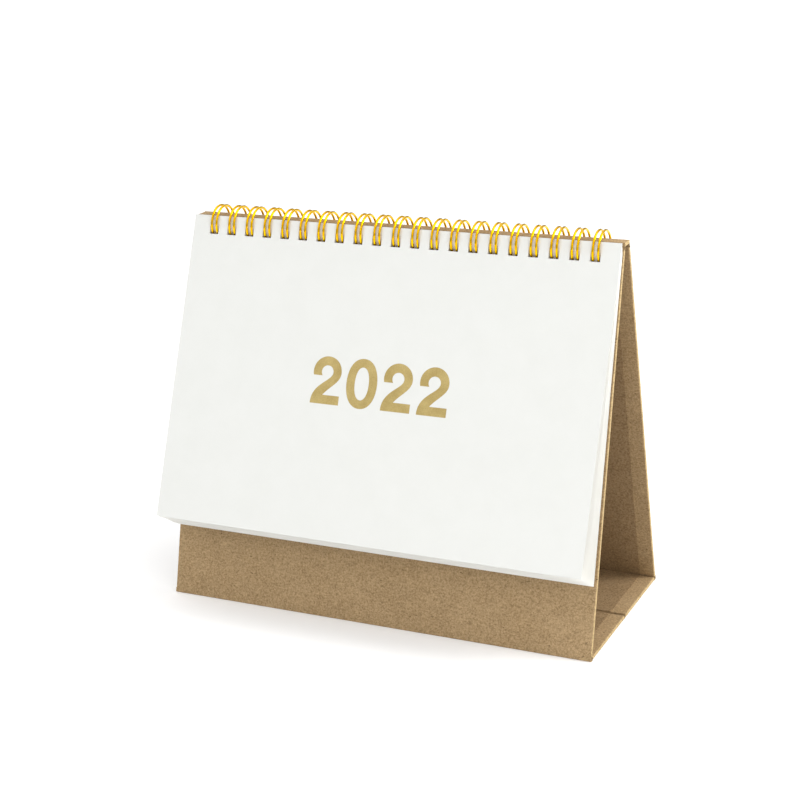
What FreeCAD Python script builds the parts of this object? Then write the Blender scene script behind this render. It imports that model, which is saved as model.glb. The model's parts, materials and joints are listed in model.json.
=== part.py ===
import FreeCAD, Part
import math
import os

from FreeCAD import Placement, Rotation, Vector

# A fold-flat desk calendar: a case-made board tent with a twin-loop wire through its ridge,
# and punched leaves that hang on the wire and flip over the top.
# Millimetres. X runs along the width, -Y is the front, +Z is up.
# The origin is the middle of the base, on the surface that the stand rests on.

# --- driving dimensions -------------------------------------------------------------
STAND_WIDTH = 190.0
STAND_DEPTH = 86.0          # over the base, front corner to rear corner
STAND_HEIGHT = 159.2        # to the top of the spine strip
RIDGE_HALF = 3.25           # where a panel's outer face would reach the spine's top

WRAP_T = 0.2                # kraft paper outside, and turned in over the inner face
BOARD_T = 1.2               # grey board
LINER_T = 0.15              # liner inside
TURN_IN = 15.0              # how far the kraft paper folds over a board's ends
LINER_INSET = 6.5           # the liner stops this far from a board's ends

SPINE_WIDTH = 5.6
SPINE_PIVOT_Y = 2.6
SPINE_PIVOT_Z = 155.8
SHOULDER_OUT = 0.05         # the ridge paper's bend stands this far outside the ridge line
SHOULDER_DROP = 0.75        # and this far below the spine's top
PANEL_FOOT_GAP = 2.6        # from the bottom corner to the panel board
PANEL_HEAD_GAP = 2.7        # from the ridge to the panel board
BASE_GAP = 3.0              # from the bottom corner to a base board
BASE_MIDDLE_GAP = 0.4       # from the front base board to the middle of the base
BASE_REAR_SHORT = 14.6      # the rear base board's clearance at the open middle pivot
BASE_PIVOT_EASE = 0.07      # the crease's axis stands this far inside both inner faces

RING_Z = 155.2              # the wire loops' centre height
RING_R = 7.65               # 9/16 inch loops, to the wire's centreline
WIRE_R = 0.5
LOOPS = 21
LOOP_PITCH = 25.4 / 3       # three loops to the inch
PAIR_SPACING = 2.25         # between the two wires of a loop
SEAM_TURN = 7.0             # the seam stands this many degrees towards the front panel
SEAM_HALF_GAP = 8.0         # degrees from the seam to the wire's runs and tips
ELBOW_R = 0.8

HOLE_W = 4.2
HOLE_H = 4.2
PANEL_HOLE_H = 4.4

LEAF_WIDTH = 189.4
LEAF_LENGTH = 129.2
LEAF_T = 0.09
COVER_T = 0.2
MONTHS = 12
LEAF_HEAD = 5.8             # from a hole's middle to the leaf's head edge
FIRST_LEAF_P = 5.05         # the rearmost leaf's distance from the loops' centre
LEAF_STEP_P = 0.118
TOP_LEAF_GAP = 0.07         # more room behind the first month's leaf, which fans out further
COVER_GAP = 0.05
REST_EASE = 0.1             # left between a resting leaf and the wire under its holes' edges
FIRST_LEAF_FAN = 1.1        # degrees between the front panel and the rearmost leaf
FAN_STEP = 0.39             # degrees from each leaf to the next
TOP_LEAF_FAN = 7.0          # the first month's leaf, which clings to the cover
COVER_FAN = 7.9

NUMERAL_HEIGHT = 19.6
NUMERAL_STROKE = 3.7
NUMERAL_WIDTH = 12.9
NUMERAL_PITCH = 15.9
NUMERAL_SHIFT = 0.85        # the year is stamped this far to the right of the middle
NUMERAL_FOOT = 72.0         # from the loops' centre down to the numerals' feet
HOOK_DROP = 1.65            # a 2's hook ends this far below the middle of its bowl
ZERO_OVER = 0.4             # a round numeral reaches this far past the others' lines
ZERO_FULLNESS = 0.61        # how square the 0 is: 0.552 would be a plain ellipse
FOIL_T = 0.03

# --- worked out ---------------------------------------------------------------------
CASE_T = WRAP_T + BOARD_T + WRAP_T   # board with its wrap and turn-ins
PANEL_T = CASE_T + LINER_T
HALF_DEPTH = STAND_DEPTH / 2
TILT = math.degrees(math.atan2(HALF_DEPTH - RIDGE_HALF, STAND_HEIGHT))
PANEL_SPAN = math.hypot(HALF_DEPTH - RIDGE_HALF, STAND_HEIGHT)
SIN_T = math.sin(math.radians(TILT))
COS_T = math.cos(math.radians(TILT))
# distances from the loops' centre to the panel's outer face, and up the panel to its foot
PANEL_P = RIDGE_HALF * COS_T + (STAND_HEIGHT - RING_Z) * SIN_T
RING_FOOT_V = HALF_DEPTH * SIN_T + RING_Z * COS_T
LOOP_X = [(i - (LOOPS - 1) / 2) * LOOP_PITCH for i in range(LOOPS)]


def save(name, shape):
    """Write one node, and say what was written."""
    os.makedirs("parts", exist_ok=True)
    if not shape.isValid():
        raise ValueError(name + " is not a valid shape")
    shape.exportStep("parts/" + name + ".step")
    box = shape.BoundBox
    print("%-24s solids %2d  volume %10.2f  box %.2f %.2f %.2f" % (
        name, len(shape.Solids), shape.Volume, box.XLength, box.YLength, box.ZLength))


def block(x0, x1, y0, y1, z0, z1):
    """A box between two corners."""
    return Part.makeBox(x1 - x0, y1 - y0, z1 - z0, Vector(x0, y0, z0))


def crossing(inner, outer):
    """How far below the loops' centre the wire passes through a sheet that lies between two
    distances in front of that centre: the middle of the stretch that the wire takes."""
    low = math.sqrt((RING_R - WIRE_R) ** 2 - outer ** 2)
    high = math.sqrt((RING_R + WIRE_R) ** 2 - inner ** 2)
    return (low + high) / 2


def hole_row(v, height, z0, z1):
    """One punched hole for each loop, in a row at height v."""
    half = HOLE_W / 2
    return Part.makeCompound(
        [block(x - half, x + half, v - height / 2, v + height / 2, z0, z1) for x in LOOP_X])


def case_panel(width, v0, v1, hole_v=None):
    """A cased board in its own frame, with its outer face on z = 0 and its inside below.

    Returns the board, the kraft wrap and the liner. The wrap covers the outer face and both
    end edges and turns in over the inner face. The liner fills the window between the
    turn-ins and laps over them.
    """
    half = width / 2
    board_inside = -(WRAP_T + BOARD_T)
    board = block(-half + WRAP_T, half - WRAP_T, v0, v1, board_inside, -WRAP_T)
    whole = block(-half, half, v0, v1, -CASE_T, 0)
    window = block(-half + TURN_IN, half - TURN_IN, v0, v1, -CASE_T, board_inside)
    wrap = whole.cut(board).cut(window)
    lap = block(-half + LINER_INSET, half - LINER_INSET, v0, v1, -PANEL_T, -CASE_T)
    liner = lap.fuse(window).removeSplitter()
    pieces = [board, wrap, liner]
    if hole_v is not None:
        holes = hole_row(hole_v, PANEL_HOLE_H, -PANEL_T - 1, 1)
        pieces = [piece.cut(holes) for piece in pieces]
    return pieces


def at_front(angle, z):
    """The placement of a sheet that leans back by angle, measured from a point on X."""
    return Placement(Vector(0, 0, z), Rotation(Vector(1, 0, 0), 90 - angle))


def turned(shape, placement):
    """A moved copy whose new place is in its geometry."""
    return shape.transformed(placement.toMatrix(), True)


def rear_of(shape):
    """The same shape turned to the other side of the stand."""
    return turned(shape, Placement(Vector(0, 0, 0), Rotation(Vector(0, 0, 1), 180)))


def panel_placement():
    """A panel's own frame has z on its outer face and v = 0 at the bottom corner."""
    return Placement(Vector(0, -HALF_DEPTH, 0), Rotation(Vector(1, 0, 0), 90 - TILT))


def prism(points, width):
    """A solid along X, centred, from an outline of (y, z) points."""
    outline = [Vector(-width / 2, y, z) for y, z in points]
    face = Part.Face(Part.makePolygon(outline + outline[:1]))
    return face.extrude(Vector(width, 0, 0))


# --- the stand ----------------------------------------------------------------------
def make_panels():
    """The two sloping panels, each with the row of holes that the wire passes through."""
    hole_v = RING_FOOT_V - crossing(PANEL_P - PANEL_T, PANEL_P)
    pieces = case_panel(STAND_WIDTH, PANEL_FOOT_GAP, PANEL_SPAN - PANEL_HEAD_GAP, hole_v)
    for name, piece in zip(("board", "kraft_wrap", "liner"), pieces):
        front = turned(piece, panel_placement())
        save("front_panel_" + name, front)
        save("back_panel_" + name, rear_of(front))


def make_spine():
    """The narrow strip along the ridge."""
    pieces = case_panel(STAND_WIDTH, -SPINE_WIDTH / 2, SPINE_WIDTH / 2)
    place = Placement(Vector(0, 0, STAND_HEIGHT), Rotation())
    for name, piece in zip(("board", "kraft_wrap", "liner"), pieces):
        save("spine_" + name, turned(piece, place))


def make_base():
    """The two halves of the base, outer face down.

    The front half reaches the middle crease. The rear half stops short of it, because at
    constant fold ratios the two halves would meet there in mid-travel.
    """
    reach = HALF_DEPTH - BASE_MIDDLE_GAP
    flip = Placement(Vector(0, HALF_DEPTH, 0), Rotation(Vector(1, 0, 0), 180))
    names = ("board", "kraft_wrap", "liner")
    for name, piece in zip(names, case_panel(STAND_WIDTH, BASE_GAP, reach)):
        save("base_front_" + name, rear_of(turned(piece, flip)))
    for name, piece in zip(names, case_panel(STAND_WIDTH, BASE_GAP, reach - BASE_REAR_SHORT)):
        save("base_rear_" + name, turned(piece, flip))


def make_creases():
    """The paper-only strips between the boards, where the case folds."""
    foot = (-HALF_DEPTH + PANEL_FOOT_GAP * SIN_T, PANEL_FOOT_GAP * COS_T)
    foot_in = (foot[0] + WRAP_T * COS_T, foot[1] - WRAP_T * SIN_T)
    corner = (-HALF_DEPTH + WRAP_T * (1 + SIN_T) / COS_T, WRAP_T)
    bottom = prism([
        foot, (-HALF_DEPTH, 0), (-HALF_DEPTH + BASE_GAP, 0),
        (-HALF_DEPTH + BASE_GAP, WRAP_T), corner, foot_in], STAND_WIDTH)
    save("bottom_front_crease", bottom)
    save("bottom_rear_crease", rear_of(bottom))

    head_v = PANEL_SPAN - PANEL_HEAD_GAP
    head = (-HALF_DEPTH + head_v * SIN_T, head_v * COS_T)
    head_in = (head[0] + WRAP_T * COS_T, head[1] - WRAP_T * SIN_T)
    edge = (-SPINE_WIDTH / 2, STAND_HEIGHT)
    edge_in = (-SPINE_WIDTH / 2, STAND_HEIGHT - WRAP_T)
    shoulder = (-RIDGE_HALF - SHOULDER_OUT, STAND_HEIGHT - SHOULDER_DROP)
    shoulder_in = (shoulder[0] + 1.1 * WRAP_T, shoulder[1] - 0.25 * WRAP_T)
    ridge = prism([head, shoulder, edge, edge_in, shoulder_in, head_in], STAND_WIDTH)
    save("ridge_front_crease", ridge)
    save("ridge_rear_crease", rear_of(ridge))

    rear_edge = BASE_MIDDLE_GAP + BASE_REAR_SHORT
    middle = block(-STAND_WIDTH / 2, STAND_WIDTH / 2, -BASE_MIDDLE_GAP, rear_edge,
                   0, WRAP_T + LINER_T)
    save("base_middle_crease", middle)


# --- the wire -----------------------------------------------------------------------
def ring_point(x, angle):
    """A point of a loop. The angle runs from the front, over the top, to the rear."""
    a = math.radians(angle)
    return Vector(x, -RING_R * math.cos(a), RING_Z + RING_R * math.sin(a))


def ring_tangent(angle):
    """The direction in which a loop runs as its angle grows."""
    a = math.radians(angle)
    return Vector(0, math.sin(a), math.cos(a))


def elbow(start, heading, side):
    """A quarter-circle bend from one heading to another at a right angle."""
    centre = start + side * ELBOW_R
    middle = centre - side * (ELBOW_R / math.sqrt(2)) + heading * (ELBOW_R / math.sqrt(2))
    end = centre + heading * ELBOW_R
    return Part.Arc(start, middle, end).toShape(), end


def wire_path():
    """One continuous wire: out along a loop, back along its twin, and on to the next loop."""
    seam = -90 + SEAM_TURN
    first = seam + SEAM_HALF_GAP
    last = seam + 360 - SEAM_HALF_GAP
    along = Vector(1, 0, 0)
    reach = math.degrees(ELBOW_R / RING_R)
    edges = []
    here = None
    for x in LOOP_X:
        left, right = x - PAIR_SPACING / 2, x + PAIR_SPACING / 2
        start, tip = ring_point(left, first + reach), ring_point(left, last - reach)
        if here is not None:
            # the run from the last loop, and the bend into this one
            out = ring_tangent(first + reach)
            bend_start = start - out * ELBOW_R - along * ELBOW_R
            edges.append(Part.makeLine(here, bend_start))
            bend, end = elbow(bend_start, along, out)
            edges.append(bend)
        edges.append(Part.Arc(start, ring_point(left, seam + 180), tip).toShape())
        # the hairpin at the loop's tip
        heading = ring_tangent(last - reach)
        bend, here = elbow(tip, heading, along)
        edges.append(bend)
        back_start = ring_point(right, last - reach)
        second_start = back_start + heading * ELBOW_R - along * ELBOW_R
        edges.append(Part.makeLine(here, second_start))
        bend, end = elbow(second_start, along, heading * -1)
        edges.append(bend)
        finish = ring_point(right, first + reach)
        edges.append(Part.Arc(back_start, ring_point(right, seam + 180), finish).toShape())
        if x != LOOP_X[-1]:
            bend, here = elbow(finish, ring_tangent(first + reach) * -1, along)
            edges.append(bend)
    return Part.Wire(edges)


def make_wire():
    """The wire's section swept along its path."""
    path = wire_path()
    first = path.Edges[0]
    start = first.valueAt(first.FirstParameter)
    tangent = first.tangentAt(first.FirstParameter)
    section = Part.Face(Part.Wire(Part.makeCircle(WIRE_R, start, tangent)))
    wire = path.makePipe(section)
    print("wire: path %.1f mm, volume over section times length %.5f" % (
        path.Length, wire.Volume / (math.pi * WIRE_R ** 2 * path.Length)))
    save("twin_loop_wire", wire)


# --- the leaves ---------------------------------------------------------------------
def hole_place(inner, outer, rest):
    """Where a leaf's holes lie, below the loops' centre.

    At rest 0 the wire passes through the middle of each hole. At rest 1 the leaf hangs with
    its holes' upper edges on the wire.
    """
    middle = crossing(inner, outer)
    hung = math.sqrt((RING_R - WIRE_R) ** 2 - outer ** 2) - REST_EASE + HOLE_H / 2
    return middle + (hung - middle) * rest


def make_leaf(name, p, thickness, fan, rest):
    """A punched leaf at distance p in front of the loops' centre, fanned out from the panel."""
    inner, outer = p - thickness / 2, p + thickness / 2
    hole_v = -hole_place(inner, outer, rest)
    head_v = hole_v + LEAF_HEAD
    half = LEAF_WIDTH / 2
    sheet = block(-half, half, head_v - LEAF_LENGTH, head_v, inner, outer)
    sheet = sheet.cut(hole_row(hole_v, HOLE_H, inner - 1, outer + 1))
    save(name, turned(sheet, at_front(TILT + fan, RING_Z)))


def curve(*poles):
    """A Bezier edge."""
    bezier = Part.BezierCurve()
    bezier.setPoles([Vector(x, y, 0) for x, y in poles])
    return bezier.toShape()


def numeral_two(x):
    """The figure 2: a hooked bowl that runs down through an S to a flat foot."""
    w, h, t = NUMERAL_WIDTH, NUMERAL_HEIGHT, NUMERAL_STROKE
    out_r = w / 2 - 0.1
    in_r = out_r - t
    cx, cy = x + w / 2, h - out_r

    def on(radius, angle):
        return cx + radius * math.cos(angle), cy + radius * math.sin(angle)

    def arc(radius, reverse):
        ends = [math.pi + math.asin(HOOK_DROP / radius), math.pi / 2, 0.0]
        if reverse:
            ends.reverse()
        return Part.Arc(*[Vector(*on(radius, angle), 0) for angle in ends]).toShape()

    def line(start, end):
        return Part.makeLine(Vector(*start, 0), Vector(*end, 0))

    foot, crook = (x, 0), (x + 0.41 * w, t)
    outer_end, inner_end = on(out_r, 0), on(in_r, 0)
    out_tip = on(out_r, math.pi + math.asin(HOOK_DROP / out_r))
    in_tip = on(in_r, math.pi + math.asin(HOOK_DROP / in_r))
    return Part.Face(Part.Wire([
        arc(out_r, False),
        curve(outer_end, (outer_end[0], 0.47 * h), (x + 0.64 * w, 0.385 * h), crook),
        line(crook, (x + w, t)),
        line((x + w, t), (x + w, 0)),
        line((x + w, 0), foot),
        curve(foot, (x - 0.02 * w, 0.42 * h), (inner_end[0], 0.48 * h), inner_end),
        arc(in_r, True),
        line(in_tip, out_tip),
    ]))


def numeral_zero(x):
    """The figure 0: two full ovals, one inside the other."""
    t = NUMERAL_STROKE
    wide = NUMERAL_WIDTH / 2 + ZERO_OVER
    tall = NUMERAL_HEIGHT / 2 + ZERO_OVER
    cx, cy = x + NUMERAL_WIDTH / 2, NUMERAL_HEIGHT / 2

    def oval(a, b):
        edges = []
        for sx, sy, along_first in ((1, 1, False), (-1, 1, True), (-1, -1, False), (1, -1, True)):
            side, top = (cx + sx * a, cy), (cx, cy + sy * b)
            near_side = (side[0], cy + sy * b * ZERO_FULLNESS)
            near_top = (cx + sx * a * ZERO_FULLNESS, top[1])
            poles = [side, near_side, near_top, top]
            edges.append(curve(*(reversed(poles) if along_first else poles)))
        return Part.Face(Part.Wire(edges))

    return oval(wide, tall).cut(oval(wide - t, tall - 0.95 * t))


def make_numerals(p, fan):
    """The year number, pressed in foil on the cover's face."""
    left = NUMERAL_SHIFT - (3 * NUMERAL_PITCH + NUMERAL_WIDTH) / 2
    faces = [
        numeral_two(left),
        numeral_zero(left + NUMERAL_PITCH),
        numeral_two(left + 2 * NUMERAL_PITCH),
        numeral_two(left + 3 * NUMERAL_PITCH),
    ]
    solids = []
    for face in faces:
        solid = face.extrude(Vector(0, 0, FOIL_T))
        solid.translate(Vector(0, -NUMERAL_FOOT, p))
        solids.append(turned(solid, at_front(TILT + fan, RING_Z)))
    save("cover_numerals", Part.makeCompound([s for shape in solids for s in shape.Solids]))


def make_leaves():
    """Month leaves from the rear one, December, to the front one, January, then the cover.

    The rear leaves rest on the wire. Those in front are pushed up as they fan out.
    """
    for k in range(MONTHS):
        p, fan = FIRST_LEAF_P + k * LEAF_STEP_P, FIRST_LEAF_FAN + k * FAN_STEP
        if k == MONTHS - 1:
            p, fan = p + TOP_LEAF_GAP, TOP_LEAF_FAN
        make_leaf("month_leaf_%02d" % (MONTHS - k), p, LEAF_T, fan, 1 - k / MONTHS)
    cover_p = p + LEAF_T / 2 + COVER_GAP + COVER_T / 2
    make_leaf("cover_sheet", cover_p, COVER_T, COVER_FAN, 0)
    make_numerals(cover_p + COVER_T / 2, COVER_FAN)


def report_axes():
    """The axes that the moving pieces turn about, as (y, z)."""
    ease = (1 + SIN_T) / COS_T
    print("tilt %.4f degrees" % TILT)
    print("ridge pivots y %.4f z %.4f" % (SPINE_PIVOT_Y, SPINE_PIVOT_Z))
    print("bottom pivots y %.4f z %.4f" % (
        HALF_DEPTH - (PANEL_T + BASE_PIVOT_EASE) * ease, PANEL_T + BASE_PIVOT_EASE))
    print("leaf pivot y 0 z %.4f" % RING_Z)


make_panels()
make_spine()
make_base()
make_creases()
make_wire()
make_leaves()
report_axes()
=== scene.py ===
import json
import math

import bmesh
import bpy
from mathutils import Matrix, Vector


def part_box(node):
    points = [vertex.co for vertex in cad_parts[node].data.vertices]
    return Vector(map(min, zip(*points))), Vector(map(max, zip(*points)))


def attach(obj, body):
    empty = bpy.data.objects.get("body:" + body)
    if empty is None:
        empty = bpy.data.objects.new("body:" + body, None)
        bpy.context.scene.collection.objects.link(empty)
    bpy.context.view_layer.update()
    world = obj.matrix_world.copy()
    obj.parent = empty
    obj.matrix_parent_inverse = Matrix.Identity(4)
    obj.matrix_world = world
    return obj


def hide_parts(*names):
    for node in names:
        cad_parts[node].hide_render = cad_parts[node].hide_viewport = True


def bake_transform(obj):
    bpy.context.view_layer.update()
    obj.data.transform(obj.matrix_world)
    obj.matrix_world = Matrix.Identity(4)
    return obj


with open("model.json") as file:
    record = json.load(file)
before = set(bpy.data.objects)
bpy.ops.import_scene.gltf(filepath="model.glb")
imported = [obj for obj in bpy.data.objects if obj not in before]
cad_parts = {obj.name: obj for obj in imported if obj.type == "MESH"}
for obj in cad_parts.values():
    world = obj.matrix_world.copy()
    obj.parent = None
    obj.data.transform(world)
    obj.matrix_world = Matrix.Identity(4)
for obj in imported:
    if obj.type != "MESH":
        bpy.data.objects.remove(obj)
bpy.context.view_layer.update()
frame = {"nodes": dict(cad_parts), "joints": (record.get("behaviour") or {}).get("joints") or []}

MM = 0.001

# --- sizes of the case, in millimetres, read from the frame where it shows them --------
JOINTS = {joint["name"]: joint for joint in frame["joints"]}


def size_of(node):
    """A CAD node's (lowest, highest) corners, in millimetres."""
    low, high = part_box(node)
    return low / MM, high / MM


_, wrap_high = size_of("front_panel_kraft_wrap")
_, spine_high = size_of("spine_kraft_wrap")
_, liner_high = size_of("front_panel_liner")
base_low, base_high = size_of("base_front_kraft_wrap")
foot_low, _ = size_of("bottom_front_crease")
ridge_low, _ = size_of("ridge_front_crease")

HALF_WIDTH = wrap_high.x
HALF_DEPTH = -foot_low.y
HEIGHT = spine_high.z
PAPER = 0.2                                   # kraft paper
LINER = 0.15
CASE_T = base_high.z - base_low.z             # board, wrap and turn-ins
PANEL_T = CASE_T + LINER
LINER_INSET = HALF_WIDTH - liner_high.x
TURN_IN = 15.0
EDGE_R = 0.5                                  # how tightly the paper turns round a board's edge
RIDGE_HALF = 3.25
SPINE_HALF = spine_high.y
TILT = math.atan2(HALF_DEPTH - RIDGE_HALF, HEIGHT)
FOOT = 2.15                                   # from a bottom corner to the boards' ends
PANEL_HEAD = ridge_low.z / math.cos(TILT)
MIDDLE_GROOVE = 0.5                           # what the base's middle groove takes of a board
BASE_END = HALF_DEPTH + base_high.y - MIDDLE_GROOVE

RING_Z = JOINTS["cover_flip"]["pos_m"][2] / MM
RING_R = 7.65
WIRE_R = 0.5
LOOPS = 21
LOOP_PITCH = 25.4 / 3
PAIR = 2.25
LOOP_X = [(i - (LOOPS - 1) / 2) * LOOP_PITCH for i in range(LOOPS)]
HOLE = 4.2
PANEL_HOLE_H = 4.4
PANEL_P = RIDGE_HALF * math.cos(TILT) + (HEIGHT - RING_Z) * math.sin(TILT)
RING_FOOT = HALF_DEPTH * math.sin(TILT) + RING_Z * math.cos(TILT)


def crossing(inner, outer):
    """How far below the loops' centre the wire crosses a sheet that lies this far in front."""
    low = math.sqrt((RING_R - WIRE_R) ** 2 - outer ** 2)
    high = math.sqrt((RING_R + WIRE_R) ** 2 - inner ** 2)
    return (low + high) / 2


# --- materials -------------------------------------------------------------------------
class Nodes:
    """A short way to write a node tree."""

    def __init__(self, name):
        self.material = bpy.data.materials.new(name)
        self.material.use_nodes = True
        self.tree = self.material.node_tree
        self.shader = self.tree.nodes["Principled BSDF"]
        coords = self.tree.nodes.new("ShaderNodeTexCoord")
        self.here = coords.outputs["Object"]

    def add(self, kind, **inputs):
        node = self.tree.nodes.new(kind)
        for key, value in inputs.items():
            socket = node.inputs[key.replace("_", " ")]
            if isinstance(value, bpy.types.NodeSocket):
                self.tree.links.new(value, socket)
            else:
                socket.default_value = value
        return node

    def stretched(self, scale, turn=0.0):
        node = self.add("ShaderNodeMapping", Vector=self.here)
        node.inputs["Scale"].default_value = scale
        node.inputs["Rotation"].default_value = (0.0, turn, 0.0)
        return node.outputs["Vector"]

    def noise(self, scale, detail=4.0, roughness=0.55, vector=None):
        node = self.add("ShaderNodeTexNoise", Vector=vector or self.here, Scale=scale,
                        Detail=detail, Roughness=roughness)
        return node.outputs["Fac"]

    def grey(self, fac, low, high, start=0.0, end=1.0):
        node = self.add("ShaderNodeMapRange", Value=fac)
        for key, value in (("From Min", start), ("From Max", end), ("To Min", low),
                           ("To Max", high)):
            node.inputs[key].default_value = value
        return node.outputs["Result"]

    def mix(self, fac, a, b, blend="MIX"):
        node = self.tree.nodes.new("ShaderNodeMix")
        node.data_type = "RGBA"
        node.blend_type = blend
        for socket, value in ((node.inputs[0], fac), (node.inputs[6], a), (node.inputs[7], b)):
            if isinstance(value, bpy.types.NodeSocket):
                self.tree.links.new(value, socket)
            else:
                socket.default_value = (*value, 1.0) if isinstance(value, tuple) else value
        return node.outputs[2]

    def bump(self, height, strength, distance, below=None):
        node = self.add("ShaderNodeBump", Height=height, Strength=strength, Distance=distance)
        if below is not None:
            self.tree.links.new(below, node.inputs["Normal"])
        return node.outputs["Normal"]

    def set(self, **inputs):
        for key, value in inputs.items():
            socket = self.shader.inputs[key.replace("_", " ")]
            if isinstance(value, bpy.types.NodeSocket):
                self.tree.links.new(value, socket)
            else:
                socket.default_value = (*value, 1.0) if isinstance(value, tuple) else value
        return self.material


def kraft(name, light, dark):
    """Kraft paper: mottled brown pulp with crossing fibres, dark shives and a felt-side bump."""
    n = Nodes(name)
    clouds = n.noise(110.0, 3.0)
    mottle = n.noise(1250.0, 4.0, 0.7)
    grain = n.noise(2900.0, 2.0, 0.6)
    tone = n.mix(n.grey(clouds, 0.2, 0.8, 0.3, 0.7), dark, light)
    tone = n.mix(n.grey(mottle, 0.0, 0.75, 0.47, 0.68), tone,
                 tuple(min(1.0, c * 1.3) for c in light))
    tone = n.mix(n.grey(mottle, 0.8, 0.0, 0.32, 0.5), tone, tuple(c * 0.62 for c in dark))
    colour = n.mix(n.grey(grain, 0.5, 0.0, 0.32, 0.52), tone, tuple(c * 0.66 for c in dark))
    heights = []
    for turn, squash in ((0.5, 4.0), (-0.9, 3.5), (1.7, 4.0)):
        fibre = n.noise(330.0, 2.0, 0.5, n.stretched((1.0, 1.0, squash), turn))
        colour = n.mix(n.grey(fibre, 0.0, 0.2, 0.61, 0.68), colour,
                       tuple(min(1.0, c * 1.4) for c in light))
        heights.append(fibre)
    shives = n.noise(620.0, 1.0, 0.4, n.stretched((1.0, 1.0, 1.8), 0.8))
    colour = n.mix(n.grey(shives, 0.0, 0.7, 0.74, 0.8), colour, (0.055, 0.032, 0.015))
    below = n.bump(heights[0], 0.2, 0.0001)
    below = n.bump(grain, 0.3, 0.00008, below)
    return n.set(Base_Color=colour, Normal=n.bump(mottle, 0.4, 0.00012, below),
                 Roughness=n.grey(mottle, 0.78, 0.92), Specular_IOR_Level=0.22)


def paper(name, colour, tint, tooth):
    """Smooth uncoated paper: an even tone with faint formation clouds and a fine tooth."""
    n = Nodes(name)
    clouds = n.noise(90.0, 4.0, 0.6)
    fine = n.noise(3800.0, 3.0, 0.6)
    tone = n.mix(n.grey(clouds, 0.0, 1.0, 0.35, 0.65), colour, tint)
    tone = n.mix(n.grey(fine, 0.12, 0.0, 0.3, 0.6), tone, tuple(c * 0.9 for c in tint))
    below = n.bump(clouds, 0.05, 0.0002)
    return n.set(Base_Color=tone, Normal=n.bump(fine, tooth, 0.00004, below),
                 Roughness=n.grey(clouds, 0.62, 0.72), Specular_IOR_Level=0.3)


def greyboard():
    """Recycled board, seen at its cut ends: grey layers with darker flecks."""
    n = Nodes("greyboard")
    layers = n.noise(400.0, 3.0, 0.6, n.stretched((0.3, 6.0, 6.0)))
    flecks = n.noise(1900.0, 4.0, 0.7)
    tone = n.mix(layers, (0.25, 0.20, 0.15), (0.38, 0.32, 0.25))
    tone = n.mix(n.grey(flecks, 0.0, 0.6, 0.55, 0.75), tone, (0.12, 0.10, 0.08))
    return n.set(Base_Color=tone, Normal=n.bump(flecks, 0.5, 0.0001), Roughness=0.95)


def gold_foil():
    """Hot-stamped foil: matte gold that follows the card's tooth, a little uneven in tone."""
    n = Nodes("gold_foil")
    clouds = n.noise(150.0, 3.0, 0.5)
    tooth = n.noise(2600.0, 3.0, 0.6)
    tone = n.mix(n.grey(clouds, 0.0, 1.0, 0.35, 0.65), (0.47, 0.35, 0.125),
                 (0.57, 0.44, 0.175))
    tone = n.mix(n.grey(tooth, 0.45, 0.0, 0.3, 0.58), tone, (0.30, 0.21, 0.07))
    return n.set(Base_Color=tone, Metallic=0.55, Normal=n.bump(tooth, 0.25, 0.00005),
                 Roughness=n.grey(tooth, 0.34, 0.5))


def gold_wire():
    """Bright yellow plated wire with faint drawing marks along it."""
    n = Nodes("gold_wire")
    marks = n.noise(700.0, 2.0, 0.5)
    tone = n.mix(n.grey(marks, 0.0, 1.0, 0.35, 0.65), (0.76, 0.42, 0.0), (0.90, 0.56, 0.003))
    return n.set(Base_Color=tone, Metallic=1.0, Normal=n.bump(marks, 0.06, 0.00004),
                 Roughness=n.grey(marks, 0.13, 0.24))


KRAFT = kraft("kraft_paper", (0.425, 0.298, 0.162), (0.330, 0.220, 0.108))
WORN_AND_HIGHLIT = kraft("worn_and_highlit_kraft", (0.54, 0.40, 0.205), (0.44, 0.315, 0.15))    # rubbed at its folds, and made lighter still as a painted highlight on the end faces
# the liner's own kraft, darkened as painted shade for the inside of the stand
SHADE_DARKENED_LINER = kraft("liner_paper", (0.335, 0.228, 0.121), (0.257, 0.166, 0.081))
BOARD = greyboard()
LEAF = paper("leaf_paper", (0.945, 0.938, 0.90), (0.935, 0.925, 0.88), 0.10)
COVER = paper("cover_card", (0.775, 0.781, 0.754), (0.761, 0.768, 0.739), 0.16)
FOIL = gold_foil()
GOLD = gold_wire()


# --- sheets ----------------------------------------------------------------------------
def new_piece(name, vertices, faces, material, sharp):
    """A mesh object from points in millimetres."""
    mesh = bpy.data.meshes.new(name)
    mesh.from_pydata([Vector(v) * MM for v in vertices], [], faces)
    mesh.validate()
    b = bmesh.new()
    b.from_mesh(mesh)
    bmesh.ops.recalc_face_normals(b, faces=b.faces)
    b.to_mesh(mesh)
    b.free()
    mesh.materials.append(material)
    piece = bpy.data.objects.new(name, mesh)
    bpy.context.scene.collection.objects.link(piece)
    mesh.shade_smooth()
    mesh.set_sharp_from_angle(angle=math.radians(sharp))
    return piece


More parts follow.
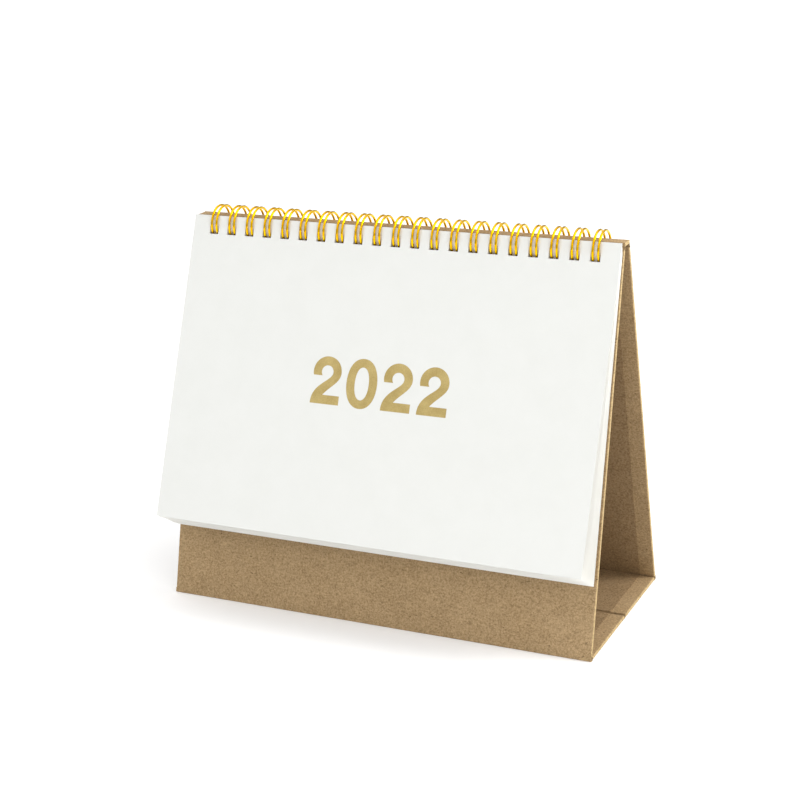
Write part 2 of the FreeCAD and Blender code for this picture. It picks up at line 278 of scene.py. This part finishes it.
def sheet(name, us, vs, place, material, gone=None, sharp=35.0):
    """A closed sheet over a grid. place(u, v, side) gives a point, with side 0 for one face
    and 1 for the other, and gone(u, v) says which cells are punched out."""
    columns, rows = len(us) - 1, len(vs) - 1
    kept = {(i, j) for i in range(columns) for j in range(rows)
            if not (gone and gone((us[i] + us[i + 1]) / 2, (vs[j] + vs[j + 1]) / 2))}
    index, vertices, faces = {}, [], []

    def at(i, j, side):
        key = (i, j, side)
        if key not in index:
            index[key] = len(vertices)
            vertices.append(place(us[i], vs[j], side))
        return index[key]

    for i, j in sorted(kept):
        corners = ((i, j), (i + 1, j), (i + 1, j + 1), (i, j + 1))
        faces.append([at(*c, 0) for c in corners])
        faces.append([at(*c, 1) for c in reversed(corners)])
        beside = ((i, j - 1), (i + 1, j), (i, j + 1), (i - 1, j))
        for k, cell in enumerate(beside):
            if cell not in kept:
                a, b = corners[k], corners[(k + 1) % 4]
                faces.append([at(*b, 0), at(*a, 0), at(*a, 1), at(*b, 1)])
    return new_piece(name, vertices, faces, material, sharp)


def steps(start, end, count):
    return [start + (end - start) * k / count for k in range(count + 1)]


def merged(*groups):
    """Sorted places without near repeats."""
    out = []
    for value in sorted(v for group in groups for v in group):
        if not out or value - out[-1] > 1e-4:
            out.append(value)
    return out


def hole_edges():
    return [x + side * HOLE / 2 for x in LOOP_X for side in (-1, 1)]


def in_a_hole(x, v, hole_v, height):
    return (abs(v - hole_v) < height / 2
            and any(abs(x - middle) < HOLE / 2 for middle in LOOP_X))


class Fold:
    """A flat sheet folded along X-parallel or end-parallel lines: a route of straight runs and
    arcs in a plane, from which a point and a normal are read at a distance along it."""

    def __init__(self, points, radii):
        self.parts = []
        self.length = 0.0
        here = Vector(points[0])
        for k in range(1, len(points)):
            corner = Vector(points[k])
            heading = (corner - here).normalized()
            if k == len(points) - 1:
                self._line(here, corner, heading)
                break
            after = (Vector(points[k + 1]) - corner).normalized()
            turn = heading.angle(after)
            side = 1.0 if heading.x * after.y - heading.y * after.x > 0 else -1.0
            cut = radii[k - 1] * math.tan(turn / 2)
            entry = corner - heading * cut
            self._line(here, entry, heading)
            self.parts.append((self.length, radii[k - 1] * turn, entry, heading,
                               radii[k - 1] * side))
            self.length += radii[k - 1] * turn
            here = corner + after * cut

    def _line(self, start, end, heading):
        run = (end - start).length
        self.parts.append((self.length, run, start, heading, 0.0))
        self.length += run

    def samples(self, arc_steps=5):
        out = []
        for start, run, _, _, radius in self.parts:
            out += steps(start, start + run, arc_steps if radius else 1)
        return merged(out)

    def at(self, distance):
        """(point, left-hand normal)"""
        for start, run, origin, heading, radius in self.parts:
            if distance <= start + run + 1e-9 or (start, run) == self.parts[-1][:2]:
                d = distance - start
                left = Vector((-heading.y, heading.x))
                if not radius:
                    return origin + heading * d, left
                a = d / radius
                centre = origin + left * radius
                normal = Vector((left.x * math.cos(a) - left.y * math.sin(a),
                                 left.x * math.sin(a) + left.y * math.cos(a)))
                return centre - normal * radius, normal
        raise ValueError(distance)


# --- where sheets lie ------------------------------------------------------------------
def on_panel(x, v, n):
    """A point on the front panel: v up it from the bottom corner, n out from its outer face."""
    return (x, -HALF_DEPTH + v * math.sin(TILT) - n * math.cos(TILT),
            v * math.cos(TILT) + n * math.sin(TILT))


def on_base(x, v, n):
    """A point on the front half of the base: v in from the bottom corner, n down."""
    return (x, -HALF_DEPTH + v, -n)


def on_spine(x, v, n):
    """A point on the spine strip: v back from its middle, n up."""
    return (x, v, HEIGHT + n)


def behind(place):
    """The same place on the other side of the stand."""
    def other(x, v, n):
        p = place(x, v, n)
        return (-p[0], -p[1], p[2])
    return other


# --- the case --------------------------------------------------------------------------
def end_fold():
    """How the kraft paper goes round a board: turn-in, end edge, outer face, end edge, turn-in."""
    x, n = HALF_WIDTH, -CASE_T
    points = [(-(x - TURN_IN), n), (-x, n), (-x, 0.0), (x, 0.0), (x, n), (x - TURN_IN, n)]
    return Fold(points, [EDGE_R] * 4)


def kraft_wrap(name, place, v0, v1, hole_v=None):
    """The kraft paper round one board, as a sheet folded over the board's ends."""
    fold = end_fold()
    us = fold.samples()
    if hole_v is not None:
        outer = fold.length / 2
        turn = fold.length - TURN_IN
        us = merged(us, [outer + x for x in hole_edges()],
                    [s * (turn - outer + (HALF_WIDTH - x)) + outer
                     for x in hole_edges() if x > HALF_WIDTH - TURN_IN for s in (-1, 1)])
    vs = [v0, v1]
    if hole_v is not None:
        vs = merged(vs, [hole_v - PANEL_HOLE_H / 2, hole_v + PANEL_HOLE_H / 2])

    def point(u, v, side):
        (x, n), normal = fold.at(u)
        return place(x + normal.x * PAPER * side * -1, v, n + normal.y * PAPER * side * -1)

    def gone(u, v):
        (x, n), normal = fold.at(u)
        return hole_v is not None and abs(normal.x) < 0.5 and in_a_hole(
            x, v, hole_v, PANEL_HOLE_H)

    return rub_and_highlight_ends(sheet(name, us, vs, point, KRAFT, gone, sharp=50.0))


def liner_sheet(name, place, v0, v1, hole_v=None):
    """The liner: a smaller sheet over the turn-ins, stopping short of the ends."""
    half = HALF_WIDTH - LINER_INSET
    us, vs = [-half, half], [v0, v1]
    if hole_v is not None:
        us = merged(us, hole_edges())
        vs = merged(vs, [hole_v - PANEL_HOLE_H / 2, hole_v + PANEL_HOLE_H / 2])

    def point(x, v, side):
        return place(x, v, -CASE_T - (0.0 if side else LINER))

    def gone(x, v):
        return hole_v is not None and in_a_hole(x, v, hole_v, PANEL_HOLE_H)

    return sheet(name, us, vs, point, SHADE_DARKENED_LINER, gone)


def rub_and_highlight_ends(piece):
    """Give the paper that turns over the board's ends its paler finish: partly rubbed wear, partly
    a painted highlight.
    """
    piece.data.materials.append(WORN_AND_HIGHLIT)
    for polygon in piece.data.polygons:
        # faces turned to either end get the paler kraft: rubbed wear plus a painted highlight
        if abs(polygon.normal.x) > 0.5:
            polygon.material_index = 1
    return piece


def finish_piece(piece, body, slot, *nodes):
    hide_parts(*nodes)
    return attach(piece, body)


def make_case():
    hole_v = RING_FOOT - crossing(PANEL_P - PANEL_T, PANEL_P)
    sides = (("front_panel", on_panel), ("back_panel", behind(on_panel)))
    for body, place in sides:
        wrap = kraft_wrap(body + "_wrap", place, FOOT, PANEL_HEAD, hole_v)
        finish_piece(wrap, body, "kraft_paper", body + "_kraft_wrap")
        liner = liner_sheet(body + "_inner_liner", place, FOOT, PANEL_HEAD, hole_v)
        finish_piece(liner, body, "liner_paper", body + "_liner")
    wrap = kraft_wrap("spine_wrap", on_spine, -SPINE_HALF, SPINE_HALF)
    finish_piece(wrap, "spine", "kraft_paper", "spine_kraft_wrap")
    liner = liner_sheet("spine_inner_liner", on_spine, -SPINE_HALF, SPINE_HALF)
    finish_piece(liner, "spine", "liner_paper", "spine_liner")
    for body, place in (("base_front", on_base), ("base_rear", behind(on_base))):
        wrap = kraft_wrap(body + "_wrap", place, FOOT, BASE_END)
        finish_piece(wrap, body, "kraft_paper", body + "_kraft_wrap")
        liner = liner_sheet(body + "_inner_liner", place, FOOT, BASE_END)
        finish_piece(liner, body, "liner_paper", body + "_liner")
    make_rear_board()
    for node, thing in frame["nodes"].items():
        if node.endswith("_board"):
            paint(thing, BOARD)


def paint(thing, material):
    thing.data.materials.clear()
    thing.data.materials.append(material)


def make_rear_board():
    """The rear base board at its full length, where the CAD one leaves room for the fold."""
    place = behind(on_base)
    half = HALF_WIDTH - PAPER

    def point(x, v, side):
        return place(x, v, -PAPER - side * (CASE_T - 2 * PAPER))

    board = sheet("base_rear_full_board", [-half, half], [FOOT, BASE_END], point, BOARD)
    finish_piece(board, "base_rear", "greyboard", "base_rear_board")


def crease_strip(name, fold, half, thickness, material, flip):
    """A paper strip that follows a fold in the (y, z) plane, over a width along X."""
    def point(x, d, side):
        (y, z), normal = fold.at(d)
        lift = thickness * side
        y, z = y + normal.x * lift, z + normal.y * lift
        return (-x, -y, z) if flip else (x, y, z)

    return sheet(name, [-half, half], fold.samples(8), point, material, sharp=60.0)


def foot_routes():
    """The outer paper round a bottom corner, and the papers that are pressed onto it inside."""
    press = PAPER + 0.08
    flat = FOOT - 0.65
    reach = press * (1 + math.sin(TILT)) / math.cos(TILT)
    outer = Fold([on_panel(0, FOOT, 0)[1:], (-HALF_DEPTH, 0.0),
                  on_base(0, FOOT, 0)[1:]], [0.5])
    inner = Fold([on_panel(0, FOOT, -CASE_T)[1:], on_panel(0, flat, -press)[1:],
                  (-HALF_DEPTH + reach, press), on_base(0, flat, -press)[1:],
                  on_base(0, FOOT, -CASE_T)[1:]], [0.25, 0.2, 0.25])
    return outer, inner


def ridge_routes():
    """The outer paper from a panel's head to the spine, which dips in a groove, and the
    papers that are pressed onto it inside."""
    dip = on_panel(0, PANEL_HEAD + 0.55, -0.75)[1:]
    side = (-SPINE_HALF - 0.06, HEIGHT - 1.05)
    outer = Fold([on_panel(0, PANEL_HEAD, 0)[1:], dip, side, (-SPINE_HALF, HEIGHT)],
                 [0.25, 0.3])
    inner = Fold([on_panel(0, PANEL_HEAD, -CASE_T)[1:],
                  (-SPINE_HALF + 0.1, HEIGHT - CASE_T - 0.65),
                  (-SPINE_HALF, HEIGHT - CASE_T)], [0.2])
    return outer, inner


def make_creases():
    """The strips where only paper joins the boards."""
    inside = HALF_WIDTH - 0.3
    lined = HALF_WIDTH - LINER_INSET
    for side, flip, panel in (("front", False, "front_panel"), ("rear", True, "back_panel")):
        turn = -MM if flip else MM

        def there(point):
            return (0.0, turn * point[0], MM * point[1])

        outer, inner = foot_routes()
        strips = (("_foot_crease", outer, PAPER, HALF_WIDTH, KRAFT, "kraft_paper"),
                  ("_foot_crease_inside", inner, -PAPER, inside, KRAFT, "kraft_paper"),
                  ("_foot_crease_lining", inner, LINER, lined, SHADE_DARKENED_LINER, "liner_paper"))
        ends = (there(outer.at(0.0)[0]), there(outer.at(outer.length)[0]))
        lay_strips(side, flip, strips,
                   "bottom_" + side + "_crease")

        outer, inner = ridge_routes()
        strips = (("_ridge_crease", outer, -PAPER, HALF_WIDTH, KRAFT, "kraft_paper"),
                  ("_ridge_crease_inside", inner, PAPER, inside, KRAFT, "kraft_paper"),
                  ("_ridge_crease_lining", inner, -LINER, lined, SHADE_DARKENED_LINER, "liner_paper"))
        ends = (there(outer.at(0.0)[0]), there(outer.at(outer.length)[0]))
        lay_strips(side, flip, strips, "ridge_" + side + "_crease")

        middle = make_middle_crease(side, flip)
        finish_piece(middle, "base_" + side, "kraft_paper", "base_middle_crease")


def lay_strips(side, flip, strips, node):
    """The layers of one crease, bent across its joint."""
    for name, route, thickness, half, material, slot in strips:
        piece = crease_strip(side + name, route, half, thickness, material, flip)
        if material is KRAFT:
            rub_and_highlight_ends(piece)
        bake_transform(piece)
        if name.endswith("_crease"):
            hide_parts(node)


def make_middle_crease(side, flip):
    """Half of the crease across the base: paper that dips from the board's end to the fold."""
    end = -HALF_DEPTH + BASE_END
    route = Fold([(end, CASE_T), (end + 0.3, 0.6), (0.0, 0.35)], [0.2])

    def point(x, d, share):
        (y, z), _ = route.at(d)
        z = z if share else 0.0
        return (-x, -y, z) if flip else (x, y, z)

    return rub_and_highlight_ends(sheet(side + "_middle_crease", [-HALF_WIDTH + 0.1, HALF_WIDTH - 0.1],
                          route.samples(6), point, KRAFT, sharp=60.0))


# --- the wire --------------------------------------------------------------------------
def wire_route():
    """The wire's centreline: along each loop, round its hairpin, back along its twin, and
    over to the next loop, with the seam shut under the ridge."""
    seam, gap, bend = math.radians(-83.0), math.radians(8.0), 0.8
    first = seam + gap + bend / RING_R
    last = seam + 2 * math.pi - gap - bend / RING_R

    def ring(a):
        return Vector((0.0, -RING_R * math.cos(a), RING_Z + RING_R * math.sin(a)))

    def heading(a):
        return Vector((0.0, math.sin(a), math.cos(a)))

    along = Vector((1.0, 0.0, 0.0))

    def turn(start, ahead, aside):
        return [start + aside * bend * (1 - math.cos(a)) + ahead * bend * math.sin(a)
                for a in steps(0.0, math.pi / 2, 5)]

    route = []
    for x in LOOP_X:
        left, right = along * (x - PAIR / 2), along * (x + PAIR / 2)
        ahead, back = heading(first), heading(last)
        if route:
            start = left + ring(first) - ahead * bend - along * bend
            route += turn(start, along, ahead)
        route += [left + ring(a) for a in steps(first, last, 56)]
        route += turn(left + ring(last), back, along)
        route += turn(right + ring(last) + back * bend - along * bend, along, -back)
        route += [right + ring(a) for a in steps(last, first, 56)]
        if x != LOOP_X[-1]:
            route += turn(right + ring(first), -ahead, along)
    return route


def tube(name, route, radius, material, sides=14):
    """A closed tube along a dense route, its section carried along without twisting."""
    points = [route[0]]
    for p in route[1:]:
        if (p - points[-1]).length > 1e-3:
            points.append(p)
    vertices, faces = [], []
    tangents = [(points[min(k + 1, len(points) - 1)] - points[max(k - 1, 0)]).normalized()
                for k in range(len(points))]
    side = tangents[0].orthogonal().normalized()
    for p, t in zip(points, tangents):
        side = (side - t * side.dot(t)).normalized()
        other = t.cross(side)
        for k in range(sides):
            a = 2 * math.pi * k / sides
            vertices.append(p + (side * math.cos(a) + other * math.sin(a)) * radius)
    for k in range(len(points) - 1):
        for m in range(sides):
            n = (m + 1) % sides
            faces.append([k * sides + m, k * sides + n, (k + 1) * sides + n, (k + 1) * sides + m])
    last = (len(points) - 1) * sides
    faces.append(list(range(sides - 1, -1, -1)))
    faces.append([last + k for k in range(sides)])
    return new_piece(name, vertices, faces, material, sharp=60.0)


def make_wire():
    wire = tube("gold_wire_loops", wire_route(), WIRE_R, GOLD)
    finish_piece(wire, "front_panel", "gold_wire", "twin_loop_wire")


# --- the leaves ------------------------------------------------------------------------
LEAF_WIDTH = 189.4
LEAF_LENGTH = 129.2
LEAF_T = 0.09
COVER_T = 0.2
MONTHS = 12
LEAF_HEAD = 5.8
FIRST_P = 5.05
STEP_P = 0.118
TOP_GAP = 0.07
COVER_GAP = 0.05
REST_EASE = 0.1
FIRST_FAN = 1.1
FAN_STEP = 0.39
TOP_FAN = 7.0
COVER_FAN = 7.9
WAVE = 0.16                                   # how far a month leaf's free edge strays
FLAT_HEAD = 12.0                              # the wave starts this far below a leaf's head


def hole_place(inner, outer, rest):
    """How far below the loops' centre a leaf's holes lie: with the wire through their middles
    at rest 0, and with their upper edges resting on it at rest 1."""
    middle = crossing(inner, outer)
    hung = math.sqrt((RING_R - WIRE_R) ** 2 - outer ** 2) - REST_EASE + HOLE / 2
    return middle + (hung - middle) * rest


def on_leaf(x, v, n, lean):
    """A point in a leaf's own frame: v up from the loops' centre, n out from that centre."""
    return (x, v * math.sin(lean) - n * math.cos(lean),
            RING_Z + v * math.cos(lean) + n * math.sin(lean))


def make_leaf(name, node, body, p, thickness, fan, rest, material, slot, wave=0.0, phase=0.0):
    """One punched leaf, with a slight wave that grows towards its free edge."""
    inner, outer = p - thickness / 2, p + thickness / 2
    hole_v = -hole_place(inner, outer, rest)
    head = hole_v + LEAF_HEAD
    lean = TILT + math.radians(fan)
    half = LEAF_WIDTH / 2
    us = merged(steps(-half, half, 24), hole_edges())
    vs = merged(steps(head - LEAF_LENGTH, head - FLAT_HEAD, 12),
                [hole_v - HOLE / 2, hole_v + HOLE / 2, head])

    def point(x, v, side):
        free = max(0.0, (head - FLAT_HEAD - v) / (LEAF_LENGTH - FLAT_HEAD)) ** 2
        stray = wave * free * math.sin(x / 31.0 + phase)
        return on_leaf(x, v, (inner if side else outer) + stray, lean)

    leaf = sheet(name, us, vs, point, material, lambda x, v: in_a_hole(x, v, hole_v, HOLE))
    return finish_piece(leaf, body, slot, node)


def make_leaves():
    for k in range(MONTHS):
        number = "%02d" % (MONTHS - k)
        p, fan = FIRST_P + k * STEP_P, FIRST_FAN + k * FAN_STEP
        if k == MONTHS - 1:
            p, fan = p + TOP_GAP, TOP_FAN
        make_leaf("month_page_" + number, "month_leaf_" + number, "leaf_" + number, p, LEAF_T,
                  fan, 1 - k / MONTHS, LEAF, "leaf_paper", WAVE, 1.7 * k)
    cover_p = p + LEAF_T / 2 + COVER_GAP + COVER_T / 2
    make_leaf("cover_page", "cover_sheet", "cover", cover_p, COVER_T, COVER_FAN, 0, COVER,
              "cover_card")
    paint(frame["nodes"]["cover_numerals"], FOIL)


# --- floor, light and camera -----------------------------------------------------------
def make_stage():
    bpy.ops.mesh.primitive_plane_add(size=60.0, location=(0, 0, -0.00005))
    floor = bpy.context.object
    floor.name = "floor"
    n = Nodes("floor")
    floor.data.materials.append(n.set(Base_Color=(0.95, 0.95, 0.95), Roughness=0.8,
                                      Specular_IOR_Level=0.1,
                                      Emission_Color=(1.0, 1.0, 1.0), Emission_Strength=0.13))


def area_light(name, place, target, size, power, colour=(1.0, 1.0, 1.0)):
    light = bpy.data.lights.new(name, "AREA")
    light.shape = "RECTANGLE"
    light.size, light.size_y = size
    light.energy = power
    light.color = colour
    lamp = bpy.data.objects.new(name, light)
    bpy.context.scene.collection.objects.link(lamp)
    lamp.location = place
    lamp.rotation_euler = (Vector(target) - Vector(place)).to_track_quat("-Z", "Y").to_euler()


def make_light():
    world = bpy.data.worlds.new("studio")
    bpy.context.scene.world = world
    world.use_nodes = True
    tree = world.node_tree
    # a white ceiling over a dimmer horizon, so that metal has something to reflect
    coords = tree.nodes.new("ShaderNodeTexCoord")
    split = tree.nodes.new("ShaderNodeSeparateXYZ")
    sky = tree.nodes.new("ShaderNodeMapRange")
    tree.links.new(coords.outputs["Generated"], split.inputs[0])
    tree.links.new(split.outputs["Z"], sky.inputs["Value"])
    for key, value in (("From Min", 0.25), ("From Max", 0.7), ("To Min", 0.28),
                       ("To Max", 1.33)):
        sky.inputs[key].default_value = value
    tree.links.new(sky.outputs["Result"], tree.nodes["Background"].inputs["Strength"])
    tree.nodes["Background"].inputs["Color"].default_value = (1.0, 1.0, 1.0, 1.0)
    middle = (0.0, 0.0, 0.08)
    area_light("front_soft", (-0.75, -1.2, 0.75), middle, (1.1, 0.9), 2.0)
    area_light("right_soft", (1.1, -0.8, 0.42), middle, (0.7, 0.8), 2.5, (1.0, 0.99, 0.97))
    area_light("end_soft", (0.95, 0.32, 0.75), (0.09, 0.0, 0.0), (0.5, 0.5), 8.6)
    view = bpy.context.scene.view_settings
    view.view_transform = "Standard"
    view.look = "None"


def make_camera():
    """An 80 mm lens a little above and to the right, tipped slightly."""
    turn, lift, roll = math.radians(25.453), math.radians(18.165), math.radians(-2.029)
    back = Vector((math.sin(turn) * math.cos(lift), -math.cos(turn) * math.cos(lift),
                   math.sin(lift)))
    right = Vector((math.cos(turn), math.sin(turn), 0.0))
    up = back.cross(right)
    right, up = (right * math.cos(roll) + up * math.sin(roll),
                 up * math.cos(roll) - right * math.sin(roll))
    aim = Vector((0.0, -0.008, 0.075))
    distance, aside, above = 0.7401, -0.00079, 0.01164
    camera = bpy.data.cameras.new("camera")
    camera.sensor_width = 36.0
    camera.lens = 79.78
    holder = bpy.data.objects.new("camera", camera)
    bpy.context.scene.collection.objects.link(holder)
    place = aim + back * distance + right * aside + up * above
    turned = Matrix((right, up, back)).transposed().to_4x4()
    holder.matrix_world = Matrix.Translation(place) @ turned
    camera.clip_start = 0.01
    bpy.context.scene.camera = holder


make_camera()
make_case()
make_creases()
make_wire()
make_leaves()
make_stage()
make_light()
